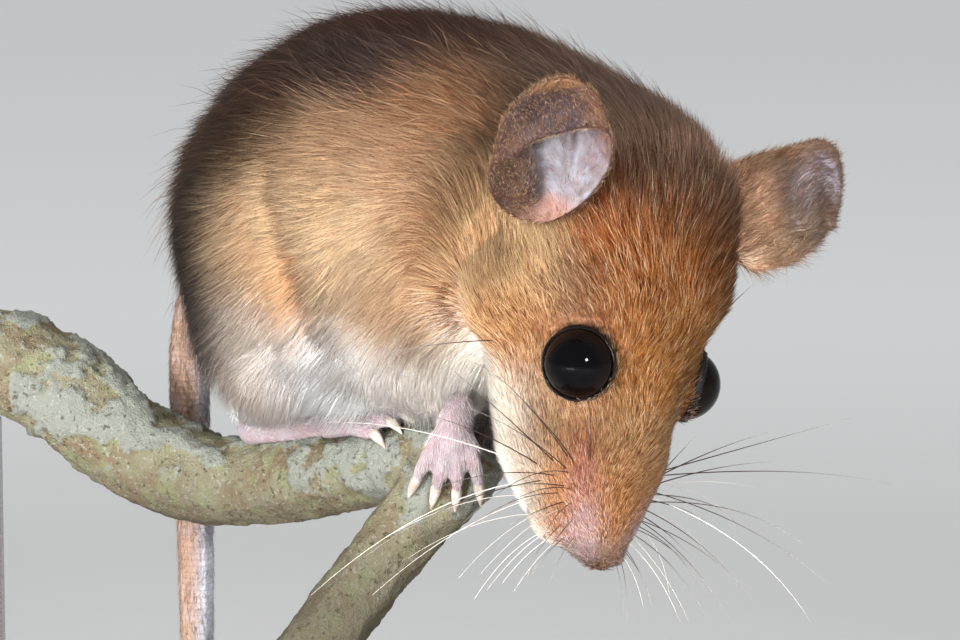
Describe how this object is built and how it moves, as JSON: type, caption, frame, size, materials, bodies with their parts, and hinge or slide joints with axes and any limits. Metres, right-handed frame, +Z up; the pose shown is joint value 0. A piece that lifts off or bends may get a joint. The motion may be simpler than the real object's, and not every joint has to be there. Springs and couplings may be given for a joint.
{
  "type": "golden mouse model",
  "caption": "Still life-size model of a golden mouse crouched on a short forked twig, held up by a plain display stand.",
  "frame": {"origin": "middle of the underside of the stand's base", "axes": "+Z up; the mouse is seen from -Y, with its head hanging at the front right (+X, -Y) and its rump at the back left"},
  "size_m": [0.09, 0.074, 0.0957],
  "materials": {
    "fur": "dense soft golden-orange fur, browner on the back, white below",
    "skin": "thin pale pink skin with sparse white hairs",
    "ear_skin": "thin dark purplish ear skin with fine short hairs",
    "eye": "wet black eye",
    "tail_skin": "finely haired tail, brown above and pale below",
    "bark": "rough bark under grey-green lichen",
    "stand_wood": "plain satin hardwood",
    "stand_metal": "brushed round rod"
  },
  "bodies": {
    "root": {"head": "fur", "neck": "fur", "chest": "fur", "belly": "fur", "rump": "fur", "hind_leg_right": "fur", "hind_leg_left": "fur", "foreleg_right": "fur", "foreleg_left": "fur", "hind_foot_right": "skin", "hind_foot_left": "skin", "forepaw_right": "skin", "forepaw_left": "skin", "ear_right": "ear_skin", "ear_left": "ear_skin", "eye_right": "eye", "eye_left": "eye", "tail_1": "tail_skin", "tail_2": "tail_skin", "tail_3": "tail_skin", "tail_4": "tail_skin", "perch_branch": "bark", "perch_stem": "bark", "stand_base": "stand_wood", "stand_rod_1": "stand_metal", "stand_rod_2": "stand_metal"}
  },
  "joints": []
}
